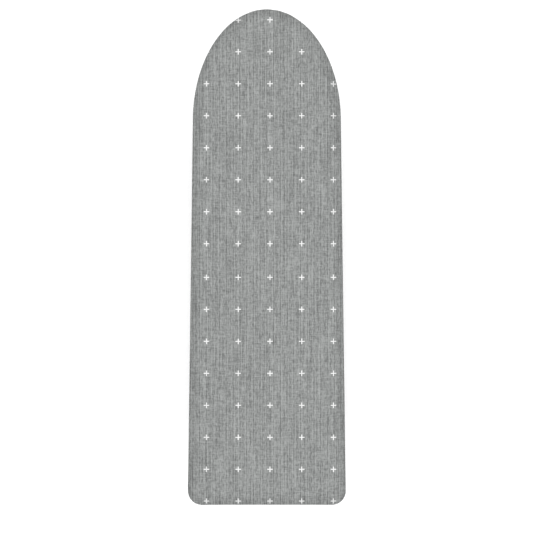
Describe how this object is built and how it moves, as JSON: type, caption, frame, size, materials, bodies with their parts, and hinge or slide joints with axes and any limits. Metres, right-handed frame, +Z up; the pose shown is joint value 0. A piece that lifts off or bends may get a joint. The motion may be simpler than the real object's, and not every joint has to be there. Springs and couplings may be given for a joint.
{
  "type": "ironing board",
  "caption": "Free-standing folding ironing board: rounded-nose padded board with a fitted cloth cover on crossed tube legs, with a rod-and-jaw height lock and a transport hook.",
  "frame": {"origin": "on the floor under the middle of the board", "axes": "+Y along the board towards the rounded nose, +X across the board, +Z up"},
  "size_m": [0.382, 1.2, 0.9],
  "materials": {
    "cover_cloth": "heather grey linen weave with a small white plus print",
    "elastic": "woven white elastic",
    "foam": "open-cell foam",
    "felt": "needled felt",
    "white_steel": "satin white powder coat",
    "leg_paint": "satin silver-grey powder coat",
    "zinc_steel": "bright zinc plate",
    "dark_plastic": "fine textured charcoal nylon",
    "rubber": "matt black rubber"
  },
  "bodies": {
    "board": {"cover": "cover_cloth", "hem_elastic": "elastic", "foam_pad": "foam", "felt_underlay": "felt", "deck": "white_steel", "rim": "white_steel", "cross_member_1": "white_steel", "cross_member_2": "white_steel", "cross_member_3": "white_steel", "cross_member_4": "white_steel", "cross_member_5": "white_steel", "guide_rail_left": "zinc_steel", "guide_rail_right": "zinc_steel", "rail_stops": "zinc_steel", "lock_rod": "zinc_steel", "rod_brackets": "white_steel", "rod_nuts": "zinc_steel", "hinge_ears_left": "zinc_steel", "hinge_ears_right": "zinc_steel", "hinge_axle": "zinc_steel", "hinge_axle_caps": "dark_plastic", "hook_bracket": "zinc_steel", "hook_pin": "zinc_steel"},
    "outer_leg": {"outer_tube_left": "leg_paint", "outer_tube_right": "leg_paint", "outer_foot_bar": "leg_paint", "outer_foot_cap_left": "rubber", "outer_foot_cap_right": "rubber", "outer_brace": "leg_paint", "pivot_bolts": "zinc_steel", "pivot_nuts": "zinc_steel", "pivot_spacers": "dark_plastic", "pivot_washers": "zinc_steel"},
    "inner_leg": {"inner_tube_left": "leg_paint", "inner_tube_right": "leg_paint", "inner_foot_bar": "leg_paint", "inner_foot_cap_left": "rubber", "inner_foot_cap_right": "rubber", "inner_brace": "leg_paint", "slide_axle": "zinc_steel", "glide_left": "dark_plastic", "glide_right": "dark_plastic"},
    "lock_carriage": {"carriage_block": "dark_plastic", "jaw_pin": "zinc_steel", "lever_pin": "zinc_steel", "jaw_spring": "zinc_steel"},
    "lock_jaw": {"lock_jaw": "zinc_steel"},
    "release_lever": {"lever_arm": "zinc_steel", "lever_grip": "dark_plastic"},
    "hook": {"transport_hook": "dark_plastic"}
  },
  "joints": [
    {"name": "leg_fold", "type": "hinge", "parent": "board", "child": "outer_leg", "pos_m": [0, -0.48, 0.8707], "axis": [1, 0, 0], "range_deg": [-5, 48.5]},
    {"name": "leg_cross", "type": "hinge", "parent": "outer_leg", "child": "inner_leg", "pos_m": [0, -0.17409, 0.49293], "axis": [1, 0, 0], "range_deg": [-97, 10]},
    {"name": "carriage_level", "type": "hinge", "parent": "inner_leg", "child": "lock_carriage", "pos_m": [0, 0.13183, 0.8707], "axis": [1, 0, 0], "range_deg": [-5, 48.5]},
    {"name": "lever_squeeze", "type": "hinge", "parent": "lock_carriage", "child": "release_lever", "pos_m": [0, 0.08513, 0.82937], "axis": [-1, 0, 0], "range_deg": [0, 12], "stiffness_Nm_per_rad": 0.6, "springref_deg": -17.19},
    {"name": "jaw_tilt", "type": "hinge", "parent": "lock_carriage", "child": "lock_jaw", "pos_m": [0, 0.09383, 0.87357], "axis": [1, 0, 0], "range_deg": [0, 7], "deforming": ["jaw_spring"]},
    {"name": "hook_swing", "type": "hinge", "parent": "board", "child": "hook", "pos_m": [0, -0.2961, 0.876], "axis": [1, 0, 0], "range_deg": [0, 90]}
  ],
  "couplings": [
    {"joint": "leg_cross", "follows": "leg_fold", "ratio": -2},
    {"joint": "carriage_level", "follows": "leg_fold", "ratio": 1},
    {"joint": "jaw_tilt", "follows": "lever_squeeze", "ratio": 0.58333}
  ]
}
